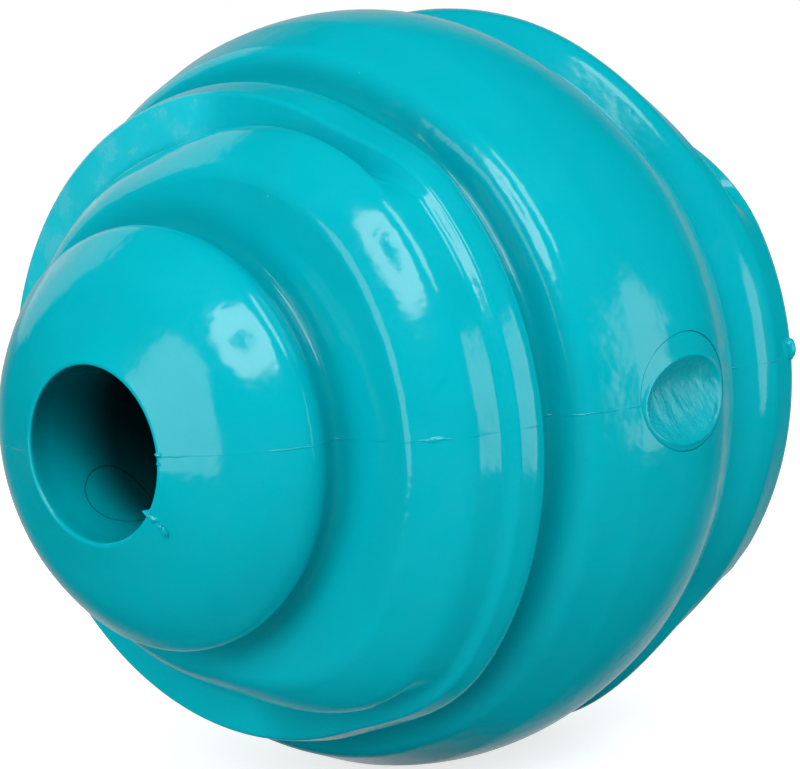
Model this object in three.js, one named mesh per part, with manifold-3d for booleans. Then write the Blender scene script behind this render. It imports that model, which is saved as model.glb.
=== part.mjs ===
// Stepped dog toy ball in soft glossy vinyl, moulded as two half shells and bonded on a
// level seam, with a hole along its axis, a hollow middle and a round plug in its side.
// Millimetres. The origin is the centre of the ball, +Z is up, the seam lies at z = 0 and
// the hole runs along Y, with the nose that is seen first, the front, toward -Y.

import * as THREE from 'three';
import { mergeVertices } from 'three/addons/utils/BufferGeometryUtils.js';
import Module from 'manifold-3d';

// Widest line of the middle ring. Its face falls away from there to a crest at each end.
const BALL_RADIUS = 44.5;

// Nose at each end, the same all round. "Out" is a distance from the centre along the hole.
const RIM_OUT = 45.3;
const BORE_RADIUS = 9.3;
const RIM_ROUND = 0.7;
const NOSE_BELLY_OUT = 41.8;
const NOSE_BELLY_RADIUS = 18.5;
const NOSE_BELLY_ROUND = 6.5;
const NOSE_SHOULDER_OUT = 36.3;
const NOSE_SHOULDER_RADIUS = 23.5;
const NOSE_SHOULDER_ROUND = 3.2;
const NOSE_GROOVE_OUT = 31.9;
const NOSE_GROOVE_RADIUS = 21.6;
const NOSE_GROOVE_ROUND = 3.5;

// Step between nose and middle ring, at its full height on the side with the plug.
const STEP_CREST_ROUND = 3;
const STEP_FACE_ROUND = 3.6;
const STEP_BACK_ROUND = 2.4;
const RING_GROOVE_OUT = 15.6;
const RING_GROOVE_RADIUS = 36;
const RING_GROOVE_ROUND = 2;
const RING_CREST_OUT = 14.9;
const RING_CREST_RADIUS = 40.6;
const RING_CREST_ROUND = 1.5;
const FRONT_CREST_OUT = 32.9;
const FRONT_CREST_RADIUS = 32;
const FRONT_FACE_OUT = 28.7;
const FRONT_FACE_RADIUS = 36.8;
const FRONT_EDGE_OUT = 24.4;
const FRONT_EDGE_RADIUS = 39.4;
const FRONT_BACK_OUT = 21.2;
const FRONT_BACK_RADIUS = 40.2;
const REAR_CREST_OUT = 34.2;
const REAR_CREST_RADIUS = 33.5;
const REAR_FACE_OUT = 31.6;
const REAR_FACE_RADIUS = 39.4;
const REAR_EDGE_OUT = 25.2;
const REAR_EDGE_RADIUS = 40.4;
const REAR_BACK_OUT = 22.2;
const REAR_BACK_RADIUS = 40.1;

// The step on the side away from the plug: its part next to the nose is lower there.
const LOW_GROOVE_RADIUS = 21.4;
const LOW_CREST_OUT = 30.8;
const LOW_CREST_RADIUS = 26.8;
const LOW_FACE_OUT = 27.4;
const LOW_FACE_RADIUS = 29.6;

// Its part next to the middle ring stays up there as a rib with a steep face. The rear rib
// stands higher than the middle ring's crest beside it.
const FRONT_RIB_FOOT_OUT = 24.3;
const FRONT_RIB_FOOT_RADIUS = 30.6;
const FRONT_RIB_EDGE_OUT = 23.4;
const FRONT_RIB_EDGE_RADIUS = 36.1;
const FRONT_RIB_ROUND = 0.8;
const FRONT_RIB_BACK_OUT = 19.2;
const FRONT_RIB_BACK_RADIUS = 37.4;
const FRONT_LOW_RING_CREST_RADIUS = 39.8;
const REAR_RIB_FOOT_OUT = 23.6;
const REAR_RIB_FOOT_RADIUS = 31.1;
const REAR_RIB_EDGE_OUT = 20.8;
const REAR_RIB_EDGE_RADIUS = 42;
const REAR_RIB_ROUND = 1.1;
const REAR_RIB_BACK_OUT = 15.5;
const REAR_RIB_BACK_RADIUS = 45;
const REAR_LOW_RING_GROOVE_OUT = 10;
const REAR_LOW_RING_GROOVE_RADIUS = 40.4;
const REAR_LOW_RING_CREST_OUT = 7.4;
const REAR_LOW_RING_CREST_RADIUS = 42.8;

// Angles round the hole, from the plug, between which the step and the rib change.
const FRONT_UPPER_RAMP_START = 36;
const FRONT_UPPER_RAMP_END = 108;
const REAR_UPPER_RAMP_START = 22;
const REAR_UPPER_RAMP_END = 100;
const LOWER_RAMP_START = 35;
const LOWER_RAMP_END = 98;
const FRONT_RIB_RAMP_START = 37;
const FRONT_RIB_RAMP_END = 62;
const REAR_RIB_RAMP_START = 21;
const REAR_RIB_RAMP_END = 70;
const LOWER_RIB_RAMP_START = 40;
const LOWER_RIB_RAMP_END = 72;

// Hollow middle, a ball shape with the hole's straight necks running into it.
const CHAMBER_RADIUS = 26;

// Plug in the side, on the seam: a round head in a pocket, with a stem through the wall.
const PLUG_HEAD_RADIUS = 6.35;
const PLUG_HEAD_DEPTH = 5.5;
const PLUG_STEM_RADIUS = 3.8;
const PLUG_SINK = 0.2;
const PLUG_CLEARANCE = 0.3;
const DIMPLE_RADIUS = 4.55;
const DIMPLE_DEPTH = 1.4;

// Smoothness of the faceted shape.
const AROUND_STEPS = 52;
const ROUND_STEPS = 2;
const RING_STEPS = 3;
const CHAMBER_STEPS = 12;
const PLUG_STEPS = 40;
const DIMPLE_STEPS = 4;

const wasm = await Module();
wasm.setup();

// Material of the whole ball and of its plug.
const vinyl = { color: 0x00a8b8, roughness: 0.2, metalness: 0 };

// Turns a closed geometry into a solid that can be cut and joined.
function toSolid(geometry) {
  const bare = geometry.clone();
  bare.deleteAttribute('normal');
  bare.deleteAttribute('uv');
  const merged = mergeVertices(bare);
  return new wasm.Manifold(new wasm.Mesh({
    numProp: 3,
    vertProperties: new Float32Array(merged.attributes.position.array),
    triVerts: new Uint32Array(merged.index.array),
  }));
}

// Turns a solid back into a named mesh with its own material.
function toMesh(name, solid, look) {
  const data = solid.getMesh();
  const geometry = new THREE.BufferGeometry();
  geometry.setAttribute('position', new THREE.BufferAttribute(data.vertProperties, 3));
  geometry.setIndex(new THREE.BufferAttribute(data.triVerts, 1));
  geometry.computeVertexNormals();
  const mesh = new THREE.Mesh(geometry, new THREE.MeshStandardMaterial(look));
  mesh.name = name;
  return mesh;
}

// Rounds the corners of a line of [out, radius, round] corners. A round takes at most a
// little under half of each side that meets in its corner. Each point keeps the number of
// the corner that it comes from.
function roundedLine(corners) {
  const spots = corners.map(([out, radius]) => new THREE.Vector2(radius, out));
  const line = [];
  corners.forEach(([, , round], corner) => {
    const spot = spots[corner];
    if (!round) {
      line.push({ point: spot, corner });
      return;
    }
    const toBefore = spots[corner - 1].clone().sub(spot);
    const toAfter = spots[corner + 1].clone().sub(spot);
    const reach = Math.min(round, 0.45 * toBefore.length(), 0.45 * toAfter.length());
    const start = spot.clone().add(toBefore.setLength(reach));
    const end = spot.clone().add(toAfter.setLength(reach));
    const curve = new THREE.QuadraticBezierCurve(start, spot, end);
    curve.getPoints(ROUND_STEPS).forEach((point) => line.push({ point, corner }));
  });
  return line;
}

// Spot on a straight line between two corners.
function between(from, to, share) {
  return [
    THREE.MathUtils.lerp(from[0], to[0], share),
    THREE.MathUtils.lerp(from[1], to[1], share),
  ];
}

// Corners of the nose, from the neck to the groove behind its shoulder.
function noseCorners(grooveRadius) {
  return [
    [RIM_OUT - 3 * RIM_ROUND, BORE_RADIUS, 0],
    [RIM_OUT, BORE_RADIUS, RIM_ROUND],
    [NOSE_BELLY_OUT, NOSE_BELLY_RADIUS, NOSE_BELLY_ROUND],
    [NOSE_SHOULDER_OUT, NOSE_SHOULDER_RADIUS, NOSE_SHOULDER_ROUND],
    [NOSE_GROOVE_OUT, grooveRadius, NOSE_GROOVE_ROUND],
  ];
}

// Corners of a full step, with a spot on its face that becomes the rib's foot.
function fullStep(crest, face, edge, back, ribRound) {
  return [
    [...crest, STEP_CREST_ROUND],
    [...face, STEP_FACE_ROUND],
    [...between(face, edge, 1 / 2), ribRound],
    [...edge, ribRound],
    [...back, STEP_BACK_ROUND],
  ];
}

// Corners of a lowered step and its rib.
function lowStep(foot, edge, back, ribRound) {
  return [
    [LOW_CREST_OUT, LOW_CREST_RADIUS, STEP_CREST_ROUND],
    [LOW_FACE_OUT, LOW_FACE_RADIUS, STEP_FACE_ROUND],
    [...foot, ribRound],
    [...edge, ribRound],
    [...back, STEP_BACK_ROUND],
  ];
}

// Groove beside the middle ring, the ring's crest, and its face up to the widest line.
function ringCorners(grooveOut, grooveRadius, crestOut, crestRadius) {
  const corners = [[grooveOut, grooveRadius, RING_GROOVE_ROUND]];
  corners.push([crestOut, crestRadius, RING_CREST_ROUND]);
  for (let i = RING_STEPS; i >= 0; i -= 1) {
    const out = 0.8 * crestOut * i / RING_STEPS;
    corners.push([out, ringFace(out, crestOut, crestRadius), 0]);
  }
  return corners;
}

// Radius of the middle ring's face at a distance from its widest line.
function ringFace(out, crestOut, crestRadius) {
  return BALL_RADIUS - (BALL_RADIUS - crestRadius) * (out / crestOut) ** 2;
}

// The four end outlines: front and rear, full on the plug's side and low on the other.
const frontFull = [
  ...noseCorners(NOSE_GROOVE_RADIUS),
  ...fullStep(
    [FRONT_CREST_OUT, FRONT_CREST_RADIUS],
    [FRONT_FACE_OUT, FRONT_FACE_RADIUS],
    [FRONT_EDGE_OUT, FRONT_EDGE_RADIUS],
    [FRONT_BACK_OUT, FRONT_BACK_RADIUS],
    FRONT_RIB_ROUND,
  ),
  ...ringCorners(RING_GROOVE_OUT, RING_GROOVE_RADIUS, RING_CREST_OUT, RING_CREST_RADIUS),
];
const frontLow = [
  ...noseCorners(LOW_GROOVE_RADIUS),
  ...lowStep(
    [FRONT_RIB_FOOT_OUT, FRONT_RIB_FOOT_RADIUS],
    [FRONT_RIB_EDGE_OUT, FRONT_RIB_EDGE_RADIUS],
    [FRONT_RIB_BACK_OUT, FRONT_RIB_BACK_RADIUS],
    FRONT_RIB_ROUND,
  ),
  ...ringCorners(RING_GROOVE_OUT, RING_GROOVE_RADIUS, RING_CREST_OUT, FRONT_LOW_RING_CREST_RADIUS),
];
const rearFull = [
  ...noseCorners(NOSE_GROOVE_RADIUS),
  ...fullStep(
    [REAR_CREST_OUT, REAR_CREST_RADIUS],
    [REAR_FACE_OUT, REAR_FACE_RADIUS],
    [REAR_EDGE_OUT, REAR_EDGE_RADIUS],
    [REAR_BACK_OUT, REAR_BACK_RADIUS],
    REAR_RIB_ROUND,
  ),
  ...ringCorners(RING_GROOVE_OUT, RING_GROOVE_RADIUS, RING_CREST_OUT, RING_CREST_RADIUS),
];
const rearLow = [
  ...noseCorners(LOW_GROOVE_RADIUS),
  ...lowStep(
    [REAR_RIB_FOOT_OUT, REAR_RIB_FOOT_RADIUS],
    [REAR_RIB_EDGE_OUT, REAR_RIB_EDGE_RADIUS],
    [REAR_RIB_BACK_OUT, REAR_RIB_BACK_RADIUS],
    REAR_RIB_ROUND,
  ),
  ...ringCorners(
    REAR_LOW_RING_GROOVE_OUT,
    REAR_LOW_RING_GROOVE_RADIUS,
    REAR_LOW_RING_CREST_OUT,
    REAR_LOW_RING_CREST_RADIUS,
  ),
];

// Corners of an end that belong to the nose and the step's own part, before the rib.
const STEP_PART_CORNERS = 7;

// Wall of the hollow middle, from the rear neck to the front one.
function chamberLine() {
  const mouth = Math.asin(BORE_RADIUS / CHAMBER_RADIUS);
  const line = [];
  for (let i = 0; i <= CHAMBER_STEPS; i += 1) {
    const turn = THREE.MathUtils.lerp(mouth, Math.PI - mouth, i / CHAMBER_STEPS);
    const radius = CHAMBER_RADIUS * Math.sin(turn);
    line.push({ point: new THREE.Vector2(radius, CHAMBER_RADIUS * Math.cos(turn)), corner: 0 });
  }
  return line;
}

// Whole closed outline of the ball on one side of the hole.
function outline(frontEnd, rearEnd) {
  const front = roundedLine(frontEnd);
  front.forEach(({ point }) => point.setY(-point.y));
  const rear = roundedLine(rearEnd).slice(0, -1).reverse();
  return [...front, ...rear, ...chamberLine(), front[0]];
}

// How far a corner has changed, 0 to 1, at an angle round the hole from the plug.
function lowering(angle, corner, isRear) {
  const turn = THREE.MathUtils.radToDeg(angle);
  const isRib = corner >= STEP_PART_CORNERS;
  if (turn < 0) {
    return isRib
      ? THREE.MathUtils.smoothstep(-turn, LOWER_RIB_RAMP_START, LOWER_RIB_RAMP_END)
      : THREE.MathUtils.smoothstep(-turn, LOWER_RAMP_START, LOWER_RAMP_END);
  }
  if (isRear) {
    return isRib
      ? THREE.MathUtils.smoothstep(turn, REAR_RIB_RAMP_START, REAR_RIB_RAMP_END)
      : THREE.MathUtils.smoothstep(turn, REAR_UPPER_RAMP_START, REAR_UPPER_RAMP_END);
  }
  return isRib
    ? THREE.MathUtils.smoothstep(turn, FRONT_RIB_RAMP_START, FRONT_RIB_RAMP_END)
    : THREE.MathUtils.smoothstep(turn, FRONT_UPPER_RAMP_START, FRONT_UPPER_RAMP_END);
}

// Revolves the full outline, then draws each point toward the low one by its angle.
function ballGeometry() {
  const full = outline(frontFull, rearFull);
  const low = outline(frontLow, rearLow);
  const geometry = new THREE.LatheGeometry(full.map(({ point }) => point), AROUND_STEPS);
  const position = geometry.attributes.position;
  for (let i = 0; i < position.count; i += 1) {
    const { point, corner } = full[i % full.length];
    const lowered = low[i % full.length].point;
    const angle = Math.atan2(position.getZ(i), position.getX(i));
    const share = lowering(angle, corner, point.y > 0);
    const radius = THREE.MathUtils.lerp(point.x, lowered.x, share);
    const y = THREE.MathUtils.lerp(point.y, lowered.y, share);
    const z = Math.abs(Math.sin(angle)) < 1e-6 ? 0 : radius * Math.sin(angle);
    position.setXYZ(i, radius * Math.cos(angle), y, z);
  }
  return geometry;
}

// Height of the ball's surface over the centre, beside the plug, at a distance from its axis.
function surfaceAt(distance) {
  return ringFace(distance, RING_CREST_OUT, RING_CREST_RADIUS);
}

// Revolves a line of [radius, out] points about X, where the plug lies.
function turnedOnX(line, steps) {
  const points = line.map(([radius, out]) => new THREE.Vector2(radius, out));
  return new THREE.LatheGeometry(points, steps).rotateZ(-Math.PI / 2);
}

const plugSeat = surfaceAt(PLUG_HEAD_RADIUS) - PLUG_HEAD_DEPTH;

// Pocket for the head and hole for the stem, each wider than the plug by the clearance.
const seatCutter = turnedOnX([
  [0, CHAMBER_RADIUS - PLUG_STEM_RADIUS],
  [PLUG_STEM_RADIUS + PLUG_CLEARANCE, CHAMBER_RADIUS - PLUG_STEM_RADIUS],
  [PLUG_STEM_RADIUS + PLUG_CLEARANCE, plugSeat],
  [PLUG_HEAD_RADIUS + PLUG_CLEARANCE, plugSeat],
  [PLUG_HEAD_RADIUS + PLUG_CLEARANCE, BALL_RADIUS + PLUG_HEAD_RADIUS],
  [0, BALL_RADIUS + PLUG_HEAD_RADIUS],
], PLUG_STEPS);

// The plug, its head flush with the ball and hollowed by a shallow round dimple.
function plugLine() {
  const line = [
    [0, CHAMBER_RADIUS],
    [PLUG_STEM_RADIUS, CHAMBER_RADIUS],
    [PLUG_STEM_RADIUS, plugSeat],
    [PLUG_HEAD_RADIUS, plugSeat],
    [PLUG_HEAD_RADIUS, surfaceAt(PLUG_HEAD_RADIUS) - PLUG_SINK],
  ];
  for (let i = DIMPLE_STEPS; i >= 0; i -= 1) {
    const share = i / DIMPLE_STEPS;
    const depth = DIMPLE_DEPTH * (1 - share ** 2);
    line.push([DIMPLE_RADIUS * share, surfaceAt(DIMPLE_RADIUS) - PLUG_SINK - depth]);
  }
  return line;
}

// Blocks on each side of the seam.
const span = 4 * Math.max(BALL_RADIUS, RIM_OUT);
const above = new THREE.BoxGeometry(span, span, span).translate(0, 0, span / 2);
const below = new THREE.BoxGeometry(span, span, span).translate(0, 0, -span / 2);

const ball = toSolid(ballGeometry()).subtract(toSolid(seatCutter));

const toy = new THREE.Group();
toy.name = 'dog_toy_ball';
toy.add(toMesh('upper_half_shell', ball.intersect(toSolid(above)), vinyl));
toy.add(toMesh('lower_half_shell', ball.intersect(toSolid(below)), vinyl));
toy.add(toMesh('side_plug', toSolid(turnedOnX(plugLine(), PLUG_STEPS)), vinyl));

export default toy;
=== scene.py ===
import math

import bpy
from mathutils import Matrix, Vector, kdtree, noise


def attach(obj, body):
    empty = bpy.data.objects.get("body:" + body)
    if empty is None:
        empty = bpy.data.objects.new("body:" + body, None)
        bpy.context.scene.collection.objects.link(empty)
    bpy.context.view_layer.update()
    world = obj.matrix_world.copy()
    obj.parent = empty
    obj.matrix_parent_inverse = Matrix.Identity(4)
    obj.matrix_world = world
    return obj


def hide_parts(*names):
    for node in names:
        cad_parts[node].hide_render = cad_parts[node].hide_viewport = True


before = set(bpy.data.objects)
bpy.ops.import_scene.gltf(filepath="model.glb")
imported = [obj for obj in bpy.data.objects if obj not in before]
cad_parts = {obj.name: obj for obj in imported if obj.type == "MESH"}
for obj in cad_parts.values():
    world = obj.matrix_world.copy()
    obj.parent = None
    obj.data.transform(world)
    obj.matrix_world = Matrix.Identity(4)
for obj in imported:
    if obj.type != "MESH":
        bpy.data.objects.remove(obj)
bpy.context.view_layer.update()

# Sizes of the ball, in metres. "Out" is a distance from the centre along the hole.
BALL_RADIUS = 0.0445
BORE_RADIUS = 0.0093
CHAMBER_RADIUS = 0.026

# Sizes of the plug in the side, which lies along X.
PLUG_HEAD_RADIUS = 0.00635
PLUG_HEAD_SEAT = 0.0382
PLUG_STEM_RADIUS = 0.0038
PLUG_STEM_END = 0.0259
PLUG_GAP = 0.00004
PLUG_EDGE_ROUND = 0.00013
PLUG_SINK = 0.00008
PLUG_HEAD_STRETCH = 1.29
PLUG_HEAD_LIFT = 0.0003
POCKET_PAST_PLUG = 0.004
DIMPLE_REACH = 0.0073
DIMPLE_RISE = 0.0046
DIMPLE_DROP = 0.0006
DIMPLE_DEPTH = 0.0026
DIMPLE_SLANT = 0.3
DIMPLE_EDGE_POWER = 3.2
DIMPLE_LIP = 0.00012
DIMPLE_LIP_AT = 1.03
DIMPLE_LIP_WIDTH = 0.05
DIMPLE_TEAR = 0.00020
DIMPLE_TEAR_FINENESS = 620
PLUG_TURN_STEPS = 160
PLUG_EDGE_STEPS = 6
PLUG_FACE_STEPS = 48

# Corners of an end's outline, each (out, radius, round), from the hole's rim to the crest
# of the middle ring. The nose is the same all round. The step is full on the plug's side
# and low on the other, where its back part stays up as a rib.
NOSE = [
    (0.0432, 0.0093, 0.0),
    (0.0453, 0.0093, 0.0007),
    (0.0418, 0.0185, 0.0065),
    (0.0363, 0.0235, 0.0032),
]
FRONT_FULL = [
    (0.0319, 0.0216, 0.0035),
    (0.0329, 0.0320, 0.0009),
    (0.0313, 0.0347, 0.0036),
    (0.0290, 0.0370, 0.0012),
    (0.0249, 0.0381, 0.0006),
    (0.0241, 0.0392, 0.0004),
    (0.0209, 0.0401, 0.0020),
    (0.0156, 0.0360, 0.0020),
    (0.0150, 0.0410, 0.0030),
]
FRONT_LOW = [
    (0.0319, 0.0214, 0.0035),
    (0.0308, 0.0268, 0.0030),
    (0.0284, 0.0289, 0.0036),
    (0.0265, 0.0300, 0.0036),
    (0.0243, 0.0306, 0.0006),
    (0.0234, 0.0361, 0.0005),
    (0.0192, 0.0374, 0.0024),
    (0.0156, 0.0360, 0.0020),
    (0.0150, 0.0402, 0.0030),
]
REAR_FULL = [
    (0.0319, 0.0216, 0.0035),
    (0.0342, 0.0335, 0.0030),
    (0.0323, 0.0378, 0.0036),
    (0.0304, 0.0396, 0.0036),
    (0.0284, 0.0399, 0.0006),
    (0.0252, 0.0404, 0.0006),
    (0.0222, 0.0401, 0.0024),
    (0.0156, 0.0360, 0.0020),
    (0.0150, 0.0410, 0.0030),
]
REAR_LOW = [
    (0.0319, 0.0214, 0.0035),
    (0.0308, 0.0268, 0.0030),
    (0.0284, 0.0289, 0.0036),
    (0.0263, 0.0301, 0.0036),
    (0.0236, 0.0311, 0.0006),
    (0.0208, 0.0420, 0.0006),
    (0.0155, 0.0450, 0.0024),
    (0.0100, 0.0404, 0.0020),
    (0.0076, 0.0431, 0.0026),
]
STEP_CORNERS = 4

# Angles round the hole, from the plug, over which the step and the rib change.
FRONT_UPPER_RAMP = (36.0, 108.0)
REAR_UPPER_RAMP = (22.0, 100.0)
LOWER_RAMP = (35.0, 98.0)
FRONT_RIB_RAMP = (37.0, 62.0)
REAR_RIB_RAMP = (21.0, 70.0)
LOWER_RIB_RAMP = (40.0, 72.0)

# The camera: the angle between it and the hole, the angle that the seam lies under the
# side that faces it, its distance, its focal length in pixels of a picture 800 wide, the
# angle under the level at which the nose points to the left, its slide right and up.
VIEW_TIP = 40.05
VIEW_SEAM_DROP = 10.5
VIEW_DISTANCE = 6 * BALL_RADIUS
FOCAL_PX = 375.8 * 6
NOSE_IMAGE_ANGLE = 13.1
VIEW_SLIDE = (0.080 * BALL_RADIUS, 0.015 * BALL_RADIUS)
PICTURE_WIDTH_PX = 800.0
SENSOR_MM = 36.0

# How fine the meshes are, and how their points and edges are told apart.
ROUND_STEPS = 6
ROUND_MOST = 0.45
RING_STEPS = 10
RING_CREST_SHARE = 0.55
CHAMBER_STEPS = 28
HALF_TURN_STEPS = 110
NEAR = 0.0001
SAME = 1e-7
SHELL_SHARP_ANGLE = 40
PLUG_SHARP_ANGLE = 35


# ---------------------------------------------------------------- camera

def set_camera():
    """A long lens, three quarters on to the hole's front end."""
    data = bpy.data.cameras.new("photo_camera")
    data.sensor_fit = "HORIZONTAL"
    data.sensor_width = SENSOR_MM
    data.clip_start = 0.05
    data.clip_end = 20.0
    data.lens = FOCAL_PX / PICTURE_WIDTH_PX * SENSOR_MM
    camera = bpy.data.objects.new("photo_camera", data)
    bpy.context.scene.collection.objects.link(camera)
    back = VIEW_FROM.normalized()
    nose = Vector((0.0, -1.0, 0.0))
    along = (nose - back * nose.dot(back)).normalized()
    across = back.cross(along)
    tilt = math.radians(NOSE_IMAGE_ANGLE)
    right = -math.cos(tilt) * along + math.sin(tilt) * across
    up = -math.sin(tilt) * along - math.cos(tilt) * across
    place = back * VIEW_DISTANCE + right * VIEW_SLIDE[0] + up * VIEW_SLIDE[1]
    rotation = Matrix((right, up, back)).transposed()
    camera.matrix_world = Matrix.Translation(place) @ rotation.to_4x4()
    bpy.context.scene.camera = camera


def view_from():
    """Direction from the ball to the camera."""
    tip, side = math.radians(VIEW_TIP), math.radians(VIEW_SEAM_DROP)
    across = Vector((math.cos(side), 0.0, math.sin(side)))
    return Vector((0, -1, 0)) * math.cos(tip) + across * math.sin(tip)


VIEW_FROM = view_from()


# ---------------------------------------------------------------- mesh helpers

def activate(piece):
    bpy.ops.object.select_all(action="DESELECT")
    piece.select_set(True)
    bpy.context.view_layer.objects.active = piece


def in_edit(piece):
    activate(piece)
    bpy.ops.object.mode_set(mode="EDIT")
    bpy.ops.mesh.select_mode(type="VERT")


def out_of_edit():
    bpy.ops.object.mode_set(mode="OBJECT")


def settle(piece):
    """Puts a finished piece's place into its mesh."""
    activate(piece)
    bpy.ops.object.transform_apply(location=True, rotation=True, scale=True)


def rounded_line(corners, steps):
    """Corners (out, radius, round) to points (out, radius, corner), each corner a parabola."""
    spots = [Vector(corner[:2]) for corner in corners]
    points = []
    for i, (out, radius, rounding) in enumerate(corners):
        if not rounding:
            points.append((out, radius, i))
            continue
        before = spots[i - 1] - spots[i]
        after = spots[i + 1] - spots[i]
        reach = min(rounding, ROUND_MOST * before.length, ROUND_MOST * after.length)
        start = spots[i] + before.normalized() * reach
        end = spots[i] + after.normalized() * reach
        for k in range(steps + 1):
            t = k / steps
            p = start * (1 - t) ** 2 + spots[i] * 2 * t * (1 - t) + end * t * t
            points.append((p.x, p.y, i))
    return points


def end_line(step):
    """One end's corners and its half of the middle ring, rounded."""
    corners = NOSE + step
    crest_out, crest_radius = step[-1][:2]
    for i in range(RING_STEPS, -1, -1):
        share = RING_CREST_SHARE * i / RING_STEPS
        drop = (BALL_RADIUS - crest_radius) * share ** 2
        corners.append((crest_out * share, BALL_RADIUS - drop, 0.0))
    return rounded_line(corners, ROUND_STEPS)


def outline(front, rear):
    """The ball's closed outline on one side of the hole, as (y, radius, corner) points."""
    points = [(-out, radius, i) for out, radius, i in end_line(front)]
    points += [(out, radius, i) for out, radius, i in reversed(end_line(rear)[:-1])]
    mouth = math.asin(BORE_RADIUS / CHAMBER_RADIUS)
    for i in range(CHAMBER_STEPS + 1):
        turn = mouth + (math.pi - 2 * mouth) * i / CHAMBER_STEPS
        points.append((CHAMBER_RADIUS * math.cos(turn), CHAMBER_RADIUS * math.sin(turn), 0))
    return points


def smooth_share(value, low, high):
    t = min(max((value - low) / (high - low), 0.0), 1.0)
    return t * t * (3 - 2 * t)


def lowering(x, y, z, corner):
    """How far a corner of the outline has changed at a place round the hole, 0 to 1."""
    turn = math.degrees(math.atan2(z, x))
    rib = corner >= len(NOSE) + STEP_CORNERS
    if turn < 0:
        return smooth_share(-turn, *(LOWER_RIB_RAMP if rib else LOWER_RAMP))
    if y > 0:
        return smooth_share(turn, *(REAR_RIB_RAMP if rib else REAR_UPPER_RAMP))
    return smooth_share(turn, *(FRONT_RIB_RAMP if rib else FRONT_UPPER_RAMP))


# ---------------------------------------------------------------- half shells

def half_shell(name, side):
    """One half of the ball: a ring of points on the outline, spun half a turn from the
    plug's side to the other, its step then drawn down by the angle, its seam face closed."""
    full = outline(FRONT_FULL, REAR_FULL)
    low = outline(FRONT_LOW, REAR_LOW)
    bpy.ops.object.select_all(action="DESELECT")
    bpy.ops.mesh.primitive_circle_add(vertices=len(full), fill_type="NOTHING")
    piece = bpy.context.object
    piece.name = piece.data.name = name
    for vertex, (y, radius, _) in zip(piece.data.vertices, full):
        vertex.co = (radius, y, 0.0)
    in_edit(piece)
    bpy.ops.mesh.select_all(action="SELECT")
    bpy.ops.mesh.spin(steps=HALF_TURN_STEPS, angle=side * math.pi,
                      center=(0, 0, 0), axis=(0, 1, 0))
    out_of_edit()
    tree = kdtree.KDTree(len(full))
    for i, (y, radius, _) in enumerate(full):
        tree.insert((y, radius, 0.0), i)
    tree.balance()
    for vertex in piece.data.vertices:
        x, y, z = vertex.co
        radius = math.hypot(x, z)
        i = tree.find((y, radius, 0.0))[1]
        share = lowering(x, y, z, full[i][2])
        new_radius = full[i][1] + (low[i][1] - full[i][1]) * share
        new_y = full[i][0] + (low[i][0] - full[i][0]) * share
        z = 0.0 if abs(z) < SAME else z * new_radius / radius
        vertex.co = (x * new_radius / radius, new_y, z)
    in_edit(piece)
    bpy.ops.mesh.select_all(action="DESELECT")
    bpy.ops.mesh.select_non_manifold()
    bpy.ops.mesh.edge_face_add()
    bpy.ops.mesh.select_all(action="SELECT")
    bpy.ops.mesh.normals_make_consistent(inside=False)
    bpy.ops.mesh.select_all(action="DESELECT")
    out_of_edit()
    settle(piece)
    return piece


def turned_on_x(name, line, steps):
    """A closed solid of revolution about X from (radius, x) points, axis to axis."""
    bpy.ops.object.select_all(action="DESELECT")
    bpy.ops.mesh.primitive_circle_add(vertices=len(line), fill_type="NOTHING")
    piece = bpy.context.object
    piece.name = piece.data.name = name
    for vertex, (radius, x) in zip(piece.data.vertices, line):
        vertex.co = (x, radius, 0.0)
    in_edit(piece)
    bpy.ops.mesh.select_all(action="SELECT")
    bpy.ops.mesh.spin(steps=steps, angle=2 * math.pi, center=(0, 0, 0), axis=(1, 0, 0))
    bpy.ops.mesh.select_all(action="SELECT")
    bpy.ops.mesh.remove_doubles(threshold=SAME)
    bpy.ops.mesh.dissolve_degenerate(threshold=SAME)
    bpy.ops.mesh.delete_loose(use_verts=True, use_edges=True, use_faces=False)
    bpy.ops.mesh.select_all(action="SELECT")
    bpy.ops.mesh.normals_make_consistent(inside=False)
    bpy.ops.mesh.select_all(action="DESELECT")
    out_of_edit()
    settle(piece)
    return piece


def ring_surface(y, z):
    """X of the middle ring's face over a spot beside the plug."""
    crest_out, crest_radius = FRONT_FULL[-1][:2]
    radius = BALL_RADIUS - (BALL_RADIUS - crest_radius) * (y / crest_out) ** 2
    return math.sqrt(max(radius * radius - z * z, 0.0))


def smooth(piece, angle):
    activate(piece)
    bpy.ops.object.shade_smooth_by_angle(angle=math.radians(angle))
    even = piece.modifiers.new("even", "WEIGHTED_NORMAL")
    even.keep_sharp = True
    even.weight = 80
    bpy.ops.object.modifier_apply(modifier=even.name)


# ---------------------------------------------------------------- plug

def plug_line():
    """Outline of the plug as (radius, x), its head drawn on a flat at BALL_RADIUS."""
    line = [
        (0.0, PLUG_STEM_END),
        (PLUG_STEM_RADIUS, PLUG_STEM_END),
        (PLUG_STEM_RADIUS, PLUG_HEAD_SEAT),
        (PLUG_HEAD_RADIUS, PLUG_HEAD_SEAT),
    ]
    face = BALL_RADIUS - PLUG_SINK
    for i in range(PLUG_EDGE_STEPS + 1):
        turn = 0.5 * math.pi * i / PLUG_EDGE_STEPS
        radius = PLUG_HEAD_RADIUS - PLUG_EDGE_ROUND * (1 - math.cos(turn))
        line.append((radius, face - PLUG_EDGE_ROUND * (1 - math.sin(turn))))
    for i in range(1, PLUG_FACE_STEPS + 1):
        radius = (PLUG_HEAD_RADIUS - PLUG_EDGE_ROUND) * (1 - i / PLUG_FACE_STEPS)
        line.append((radius, face))
    return line


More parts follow.
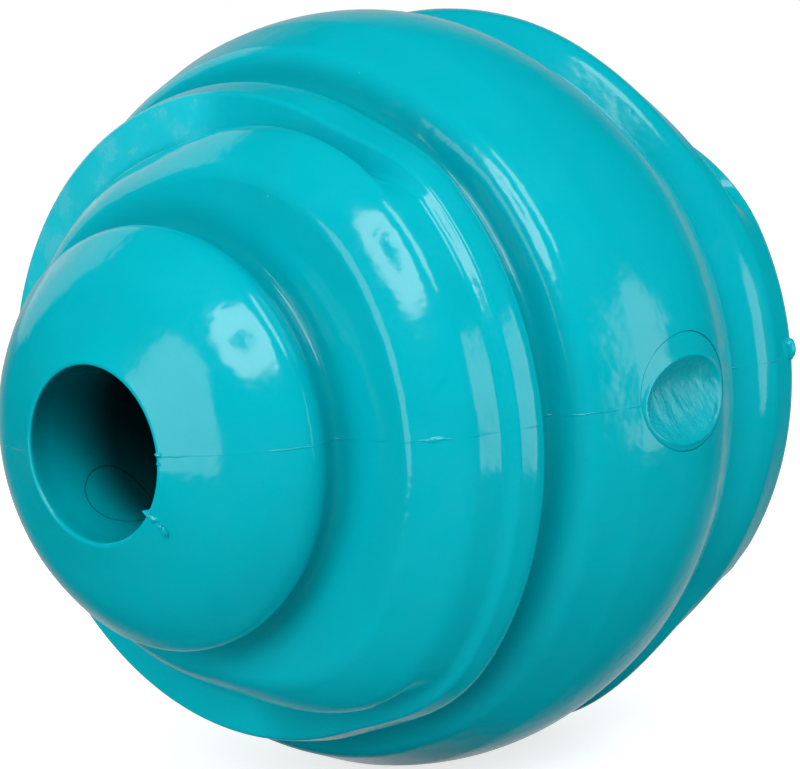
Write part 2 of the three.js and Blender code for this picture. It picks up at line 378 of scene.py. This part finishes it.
def stretch_head(piece):
    """Draws a round head out along the hole, and up a little. The stem stays as it is."""
    for vertex in piece.data.vertices:
        x, y, z = vertex.co
        past_stem = math.hypot(y, z) > PLUG_STEM_RADIUS + NEAR
        on_seat = x > PLUG_HEAD_SEAT - NEAR and past_stem
        if on_seat or x > PLUG_HEAD_SEAT + NEAR:
            vertex.co.y = y * PLUG_HEAD_STRETCH
            vertex.co.z = z + PLUG_HEAD_LIFT


def dish_face(piece):
    """Lays the plug's flat face on the middle ring and presses the torn dimple into it."""
    for vertex in piece.data.vertices:
        x, y, z = vertex.co
        if x < 0.5 * (PLUG_HEAD_SEAT + BALL_RADIUS):
            continue
        spot = math.hypot(y / DIMPLE_REACH, (z + DIMPLE_DROP) / DIMPLE_RISE)
        slant = 1 + DIMPLE_SLANT * (z / DIMPLE_RISE - y / DIMPLE_REACH)
        dish = max(0.0, 1 - spot ** DIMPLE_EDGE_POWER) * slant
        streaky = Vector((x, y * 0.55 + z * 0.25, z * 0.30)) * DIMPLE_TEAR_FINENESS
        tear = DIMPLE_TEAR * noise.fractal(streaky, 0.8, 2.0, 3) * min(1.0, 3 * dish)
        lip = DIMPLE_LIP * math.exp(-((spot - DIMPLE_LIP_AT) / DIMPLE_LIP_WIDTH) ** 2)
        face = x + ring_surface(y, z) - BALL_RADIUS
        vertex.co.x = face - DIMPLE_DEPTH * dish + lip + tear


plug = turned_on_x("plug", plug_line(), PLUG_TURN_STEPS)
stretch_head(plug)
dish_face(plug)
smooth(plug, PLUG_SHARP_ANGLE)

pocket = turned_on_x("pocket", [
    (0.0, PLUG_STEM_END - POCKET_PAST_PLUG),
    (PLUG_STEM_RADIUS + PLUG_GAP, PLUG_STEM_END - POCKET_PAST_PLUG),
    (PLUG_STEM_RADIUS + PLUG_GAP, PLUG_HEAD_SEAT - PLUG_GAP),
    (PLUG_HEAD_RADIUS + PLUG_GAP, PLUG_HEAD_SEAT - PLUG_GAP),
    (PLUG_HEAD_RADIUS + PLUG_GAP, BALL_RADIUS + POCKET_PAST_PLUG),
    (0.0, BALL_RADIUS + POCKET_PAST_PLUG),
], PLUG_TURN_STEPS)
stretch_head(pocket)
upper = half_shell("upper_shell", 1)
lower = half_shell("lower_shell", -1)
nodes = [(upper, "upper_half_shell"), (lower, "lower_half_shell"), (plug, "side_plug")]
for piece, node in nodes:
    if piece is not plug:
        cut = piece.modifiers.new("pocket", "BOOLEAN")
        cut.operation = "DIFFERENCE"
        cut.solver = "EXACT"
        cut.object = pocket
        activate(piece)
        bpy.ops.object.modifier_apply(modifier=cut.name)
        smooth(piece, SHELL_SHARP_ANGLE)
    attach(piece, "root")
    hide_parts(node)
bpy.data.objects.remove(pocket)


# ---------------------------------------------------------------- moulding marks

def blob(name, place, size, turn, rough, seed):
    """A small lump of flash: a sphere, roughened, stretched to a size and turned."""
    bpy.ops.object.select_all(action="DESELECT")
    bpy.ops.mesh.primitive_ico_sphere_add(subdivisions=4, radius=1.0)
    piece = bpy.context.object
    piece.name = piece.data.name = name
    for vertex in piece.data.vertices:
        wave = noise.fractal(vertex.co * 1.4 + Vector((seed, seed, seed)), 0.8, 2.0, 3)
        vertex.co *= 1 + rough * wave
    piece.scale = [0.001 * part for part in size]
    piece.rotation_euler = [math.radians(part) for part in turn]
    piece.location = Vector(place) * 0.001
    settle(piece)
    bpy.ops.object.shade_smooth()
    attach(piece, "root")
    return piece


marks = [
    blob("moulding_nub", (39.7, 29.6, 0.9), (0.75, 0.8, 1.35), (0, 0, 0), 0.10, 3.1),
    blob("seam_tick", (34.55, -31.05, 0.06), (1.25, 0.30, 0.42), (0, 0, 42), 0.12, 8.4),
    blob("seam_tick_rear", (39.15, -20.5, 0.02), (0.22, 0.6, 0.14), (0, 0, 30), 0.2, 2.2),
    blob("rim_tear", (7.75, -44.75, -6.2), (0.95, 0.40, 0.55), (0, 40, 20), 0.45, 5.7),
    blob("rim_tear_flap", (8.7, -44.5, -7.5), (0.85, 0.24, 0.26), (0, 62, 24), 0.55, 1.3),
    blob("rim_chip", (9.75, -44.95, 0.25), (0.45, 0.35, 0.30), (0, 0, 10), 0.3, 6.6),
    blob("rim_chip_low", (9.70, -44.95, -0.75), (0.30, 0.30, 0.25), (0, 0, 10), 0.3, 4.6),
]


# ---------------------------------------------------------------- looks

# Colours, and lengths in millimetres. A groove that gets painted shade is given by its distance
# out and its radius, the round witness line in the hole's wall by its distance out, its own
# radius and its turn down from the plug's side, in radians.
TEAL = (0.0, 0.50, 0.60)
PALE_SCUFF_AND_SHEEN = (0.35, 0.72, 0.76, 1)
PALE_DUST = (0.30, 0.80, 0.85, 1)
DARK_PIT = (0.0, 0.10, 0.14, 1)
PALE_TEAR = (0.05, 0.72, 0.78, 1)
BORE_MM = 1000 * BORE_RADIUS
CHAMBER_MM = 1000 * CHAMBER_RADIUS
SHADE_START_MM = 44.5
SHADE_END_MM = 22.0
SHADED_GROOVES_MM = ((31.9, 22.0), (16.0, 36.5))
WITNESS_OUT_MM = 35.7
WITNESS_RADIUS_MM = 4.1
WITNESS_TURN = 2.356


class Value:
    """A value that runs through a material's nodes, with the usual sums."""

    def __init__(self, tree, socket):
        self.tree = tree
        self.socket = socket

    def node(self, kind, inputs=(), output=0, **settings):
        """Any other node: its settings by name, its inputs by name or number."""
        made = self.tree.nodes.new(kind)
        for key, setting in settings.items():
            setattr(made, key, setting)
        for key, item in dict(inputs).items():
            if isinstance(item, Value):
                self.tree.links.new(item.socket, made.inputs[key])
            else:
                made.inputs[key].default_value = item
        return Value(self.tree, made.outputs[output])

    def maths(self, operation, first, second=0.0):
        return self.node("ShaderNodeMath", {0: first, 1: second}, operation=operation)

    def __add__(self, other):
        return self.maths("ADD", self, other)

    def __sub__(self, other):
        return self.maths("SUBTRACT", self, other)

    def __radd__(self, other):
        return self.maths("ADD", other, self)

    def __rsub__(self, other):
        return self.maths("SUBTRACT", other, self)

    def __mul__(self, other):
        return self.maths("MULTIPLY", self, other)

    def __truediv__(self, other):
        return self.maths("DIVIDE", self, other)

    def size(self):
        return self.maths("ABSOLUTE", self)

    def with_side(self, other):
        """Length of the long side over two square ones."""
        return self.maths("SQRT", self * self + other * other)

    def step(self, low, high, start=0.0, end=1.0):
        """Smooth change from start to end as the value goes from low to high."""
        return self.node("ShaderNodeMapRange", {"Value": self, "From Min": low, "From Max": high,
                         "To Min": start, "To Max": end}, interpolation_type="SMOOTHSTEP")

    def mixed(self, dark, pale):
        """A colour between two, by this value. Either may be a value itself."""
        return self.node("ShaderNodeMix", {0: self, 6: dark, 7: pale}, output=2, data_type="RGBA")


def stretched(place, x, y, z):
    return place.node("ShaderNodeVectorMath", {0: place, 1: (x, y, z)}, operation="MULTIPLY")


def grain(place, scale, detail=2.0, roughness=0.5):
    return place.node("ShaderNodeTexNoise", {"Vector": place, "Scale": scale, "Detail": detail,
                      "Roughness": roughness})


def specks(place, scale, size, share):
    """Small round specks in a share of the cells of a field."""
    field = {"Vector": place, "Scale": scale}
    gap = place.node("ShaderNodeTexVoronoi", field)
    pick = place.node("ShaderNodeTexVoronoi", field, output=1)
    chosen = pick.node("ShaderNodeSeparateColor", {0: pick}).step(share, share + 0.02, 1.0, 0.0)
    return gap.step(size * 0.6, size, 1.0, 0.0) * chosen


def vinyl(name, color, marked):
    """Glossy soft vinyl. Lengths in its nodes are in millimetres."""
    material = bpy.data.materials.new(name)
    material.use_nodes = True
    tree = material.node_tree
    shader = tree.nodes["Principled BSDF"]
    start = Value(tree, tree.nodes.new("ShaderNodeTexCoord").outputs["Object"])
    place = stretched(start, 1000.0, 1000.0, 1000.0)
    x, y, z = (place.node("ShaderNodeSeparateXYZ", {0: place}, output=i) for i in range(3))
    radius = x.with_side(z)
    from_centre = radius.with_side(y)

    broad = grain(place, 0.05, 2.0)
    middle = grain(place, 0.32, 2.0)
    fine = grain(place, 2.4, 3.0, 0.6)
    dust = specks(place, 0.20, 0.022, 0.30)
    pits = specks(stretched(place, 1.0, 1.1, 0.9), 0.13, 0.014, 0.25)

    in_hole = radius.step(BORE_MM, BORE_MM + 0.15, 1.0, 0.0)
    in_chamber = from_centre.step(CHAMBER_MM - 0.1, CHAMBER_MM + 0.4, 1.0, 0.0)
    inside = in_hole.maths("MAXIMUM", in_hole, in_chamber)
    depth = y.size().step(SHADE_END_MM, SHADE_START_MM, 1.0, 0.0) * inside

    shade = broad.step(0.3, 0.7, 0.96, 1.04) * fine.step(0.2, 0.8, 0.985, 1.015)
    # The hole: painted light at its mouth, painted shade deep inside and under its top.
    shade = shade * depth.step(0.0, 0.03, 1.0, 1.12) * depth.step(0.0, 0.55, 1.0, 0.13)
    shade = shade * (1.0 - inside * z.step(-7.0, 8.0, 0.0, 0.75))

    # Painted shade: the grooves darker. Painted light: the steep face of the ribs paler.
    for groove_out, groove_radius in SHADED_GROOVES_MM:
        groove_gap = (y.size() - groove_out).with_side(radius - groove_radius)
        shade = shade * groove_gap.step(0.5, 5.0, 0.78, 1.0)
    # Painted light on the steep face of the ribs, a quarter paler.
    rib_face = x.step(-2.0, 4.0, 1.0, 0.0)
    rib_face = rib_face * radius.step(30.5, 32.0) * radius.step(35.5, 36.5, 1.0, 0.0)
    shade = shade * (1.0 + rib_face * 0.25)

    # The seam: a faint line that wanders and breaks off.
    wander = (grain(place, 0.45, 2.0) - 0.5) * 0.35
    seam_gap = (z + wander).size()
    patchy = grain(place, 0.22, 1.0).step(0.42, 0.58, 0.15, 1.0)
    seam = seam_gap.step(0.03, 0.11, 1.0, 0.0) * patchy * (1.0 - inside) * marked
    shade = shade * (1.0 - seam * 0.12)

    # A round witness line in the hole's wall.
    along_wall = (z.maths("ARCTAN2", z, x) + WITNESS_TURN) * BORE_MM
    circle = (y + WITNESS_OUT_MM).with_side(along_wall)
    witness = (circle - WITNESS_RADIUS_MM).size().step(0.05, 0.16, 1.0, 0.0) * in_hole * marked
    shade = shade * (1.0 - witness * 0.45)

    # Real scuffs on the upper rib face, and a faint painted sheen over all of that face.
    scuffed_and_sheened = rib_face * z.step(-4.0, 6.0, 0.0, 1.0)
    scuffs = grain(stretched(place, 0.5, 1.5, 0.5), 0.45, 4.0, 0.6).step(0.44, 0.66)
    scuffs = scuffs * scuffed_and_sheened * marked

    paint = shade.node("ShaderNodeVectorMath", {0: color, "Scale": shade}, operation="SCALE")
    # Pale scuffs, plus a painted sheen that mixes the whole upper rib face a little toward the
    # pale colour.
    paint = (scuffs * 0.10 + scuffed_and_sheened * 0.035).mixed(paint, PALE_SCUFF_AND_SHEEN)
    paint = (dust * 0.55).mixed(paint, PALE_DUST)
    paint = (pits * 0.7).mixed(paint, DARK_PIT)
    tree.links.new(paint.socket, shader.inputs["Base Color"])

    dull = fine.step(0.3, 0.8, 0.07, 0.15) + scuffs * 0.25 + middle.step(0.3, 0.7, 0.0, 0.05)
    tree.links.new(dull.socket, shader.inputs["Roughness"])

    height = broad * 0.30 + middle * 0.085 + fine * 0.0035 + dust * 0.03
    height = height - pits * 0.03 + seam * 0.032 - witness * 0.03
    bump = height.node("ShaderNodeBump", {"Height": height, "Distance": 0.001, "Strength": 1.0})
    tree.links.new(bump.socket, shader.inputs["Normal"])
    return material


def torn_vinyl(name, color):
    """The plug's vinyl, with torn streaks that run across its dimple."""
    material = vinyl(name, color, 0.0)
    tree = material.node_tree
    shader = tree.nodes["Principled BSDF"]
    place = Value(tree, tree.nodes.new("ShaderNodeTexCoord").outputs["Object"])
    place = stretched(place, 1000.0, 1000.0, 1000.0)
    y, z = (place.node("ShaderNodeSeparateXYZ", {0: place}, output=i) for i in (1, 2))
    across = y / (1000 * DIMPLE_REACH)
    up = (z + 1000 * DIMPLE_DROP) / (1000 * DIMPLE_RISE)
    in_dimple = across.with_side(up).step(0.9, 1.0, 1.0, 0.0)
    turn = {"Vector": place, "Axis": (1, 0, 0), "Angle": -0.35}
    turned = place.node("ShaderNodeVectorRotate", turn, rotation_type="AXIS_ANGLE")
    streaks = grain(stretched(turned, 0.3, 1.0, 0.22), 0.9, 3.0, 0.6)
    fibres = grain(stretched(turned, 0.5, 1.0, 0.12), 5.0, 3.0, 0.6)
    torn = streaks.step(0.52, 0.70) * in_dimple
    old = shader.inputs["Base Color"].links[0].from_socket
    paint = (torn * 0.35).mixed(Value(tree, old), PALE_TEAR)
    tree.links.new(paint.socket, shader.inputs["Base Color"])
    height = (streaks * 0.40 + fibres * 0.025) * in_dimple
    smooth_bump = shader.inputs["Normal"].links[0].from_socket
    bump = height.node("ShaderNodeBump", {"Height": height, "Distance": 0.001,
                       "Normal": Value(tree, smooth_bump)})
    tree.links.new(bump.socket, shader.inputs["Normal"])
    dull = Value(tree, shader.inputs["Roughness"].links[0].from_socket) + in_dimple * 0.14
    tree.links.new(dull.socket, shader.inputs["Roughness"])
    return material


skin = vinyl("teal_vinyl", TEAL, 1.0)
plug_skin = torn_vinyl("torn_teal_vinyl", TEAL)
flash_skin = vinyl("flash_vinyl", TEAL, 0.0)
skins = [(upper, skin), (lower, skin), (plug, plug_skin)]
skins += [(mark, flash_skin) for mark in marks]
for piece, material in skins:
    piece.data.materials.clear()
    piece.data.materials.append(material)


# ---------------------------------------------------------------- studio

BOX_DISTANCE = 0.9
BEHIND_GLOW = 0.45
LOW_GLOW = 0.07
HIGH_GLOW = 0.54
FLOOR_SIZE = 6.0
FLOOR_GAP = 0.0002
FLOOR_GREY = 0.62
FLOOR_GLOW = 0.75


def box_light(name, azimuth, height, size, glow, hollow=0.0):
    """A soft box in a direction from the ball, its face toward it: azimuth from +X toward
    +Y, height above level. Its glow fades at its edges, and in its middle if hollow."""
    a, h = math.radians(azimuth), math.radians(height)
    place = Vector((math.cos(a) * math.cos(h), math.sin(a) * math.cos(h), math.sin(h)))
    place *= BOX_DISTANCE
    data = bpy.data.lights.new(name, "AREA")
    data.shape = "RECTANGLE"
    data.size, data.size_y = size
    data.energy = glow * math.pi * size[0] * size[1]
    data.use_nodes = True
    tree = data.node_tree
    lamp_glow = tree.nodes["Emission"]
    spot = Value(tree, tree.nodes.new("ShaderNodeNewGeometry").outputs["Parametric"])
    across, up = ((spot.node("ShaderNodeSeparateXYZ", {0: spot}, output=i) - 0.5).size()
                  for i in (0, 1))
    if hollow:
        out = across.with_side(up)
        strength = out.step(0.42, 0.49, 1.0, 0.0)
        strength = strength * out.step(hollow - 0.02, hollow + 0.02, 0.0, 1.0)
    else:
        strength = (across * across * across + up * up * up).step(0.09, 0.125, 1.0, 0.0)
    tree.links.new(strength.socket, lamp_glow.inputs["Strength"])
    lamp = bpy.data.objects.new(name, data)
    lamp.location = place
    lamp.rotation_euler = (-place).to_track_quat("-Z", "Y").to_euler()
    bpy.context.scene.collection.objects.link(lamp)


def seen_directly(tree):
    """The light path node and whether a ray comes from the camera or through glass."""
    path = tree.nodes.new("ShaderNodeLightPath")
    camera_ray = Value(tree, path.outputs["Is Camera Ray"])
    through_glass = Value(tree, path.outputs["Is Transmission Ray"])
    return path, camera_ray.maths("MAXIMUM", camera_ray, through_glass)


set_camera()
box_light("left_box", -98, 7, (0.46, 0.70), 1.8)
box_light("right_box", 29, 1, (0.46, 0.66), 1.7)
box_light("front_box", -54, 38, (0.62, 0.60), 4.9, hollow=0.12)
box_light("top_box", 0, 50, (0.20, 0.56), 4.0)
box_light("back_box", 172, 28, (0.70, 0.70), 0.6)

# The white background is for the camera. The vinyl mirrors a dark studio: only the part
# behind the ball is shown to mirror-like rays. All else is lit by a plain light from above.
world = bpy.data.worlds.new("studio")
bpy.context.scene.world = world
world.use_nodes = True
tree = world.node_tree
direction = Value(tree, tree.nodes.new("ShaderNodeTexCoord").outputs["Generated"])
path, seen = seen_directly(tree)
glossy = Value(tree, path.outputs["Is Glossy Ray"])
facing_away = direction.node("ShaderNodeVectorMath", {0: direction, 1: tuple(-VIEW_FROM)},
                             output=1, operation="DOT_PRODUCT")
behind = facing_away.step(0.62, 1.0, 0.0, BEHIND_GLOW)
upward = direction.node("ShaderNodeSeparateXYZ", {0: direction}, output=2)
from_above = upward.step(-0.8, 1.0, LOW_GLOW, HIGH_GLOW)
strength = glossy.node("ShaderNodeMix", {0: glossy, 2: from_above, 3: behind}, data_type="FLOAT")
strength = strength.maths("MAXIMUM", strength, seen)
background = tree.nodes["Background"]
background.inputs["Color"].default_value = (1, 1, 1, 1)
tree.links.new(strength.socket, background.inputs["Strength"])

# The floor: a matt grey that carries the ball's shade, lit up where it is seen directly.
bpy.ops.object.select_all(action="DESELECT")
bpy.ops.mesh.primitive_plane_add(size=FLOOR_SIZE, location=(0, 0, -BALL_RADIUS - FLOOR_GAP))
floor = bpy.context.object
floor.name = "floor"
floor.visible_glossy = False
pale = bpy.data.materials.new("pale_floor")
pale.use_nodes = True
tree = pale.node_tree
matt = tree.nodes["Principled BSDF"]
matt.inputs["Base Color"].default_value = (FLOOR_GREY, FLOOR_GREY, FLOOR_GREY, 1)
matt.inputs["Roughness"].default_value = 1.0
matt.inputs["Specular IOR Level"].default_value = 0.0
seen = seen_directly(tree)[1]
glow = tree.nodes.new("ShaderNodeEmission")
glow.inputs["Strength"].default_value = FLOOR_GLOW
both = tree.nodes.new("ShaderNodeAddShader")
tree.links.new(matt.outputs[0], both.inputs[0])
tree.links.new(glow.outputs[0], both.inputs[1])
shown = tree.nodes.new("ShaderNodeMixShader")
tree.links.new(seen.socket, shown.inputs["Fac"])
tree.links.new(matt.outputs[0], shown.inputs[1])
tree.links.new(both.outputs[0], shown.inputs[2])
tree.links.new(shown.outputs[0], tree.nodes["Material Output"].inputs["Surface"])
floor.data.materials.append(pale)

bpy.context.scene.view_settings.view_transform = "Standard"
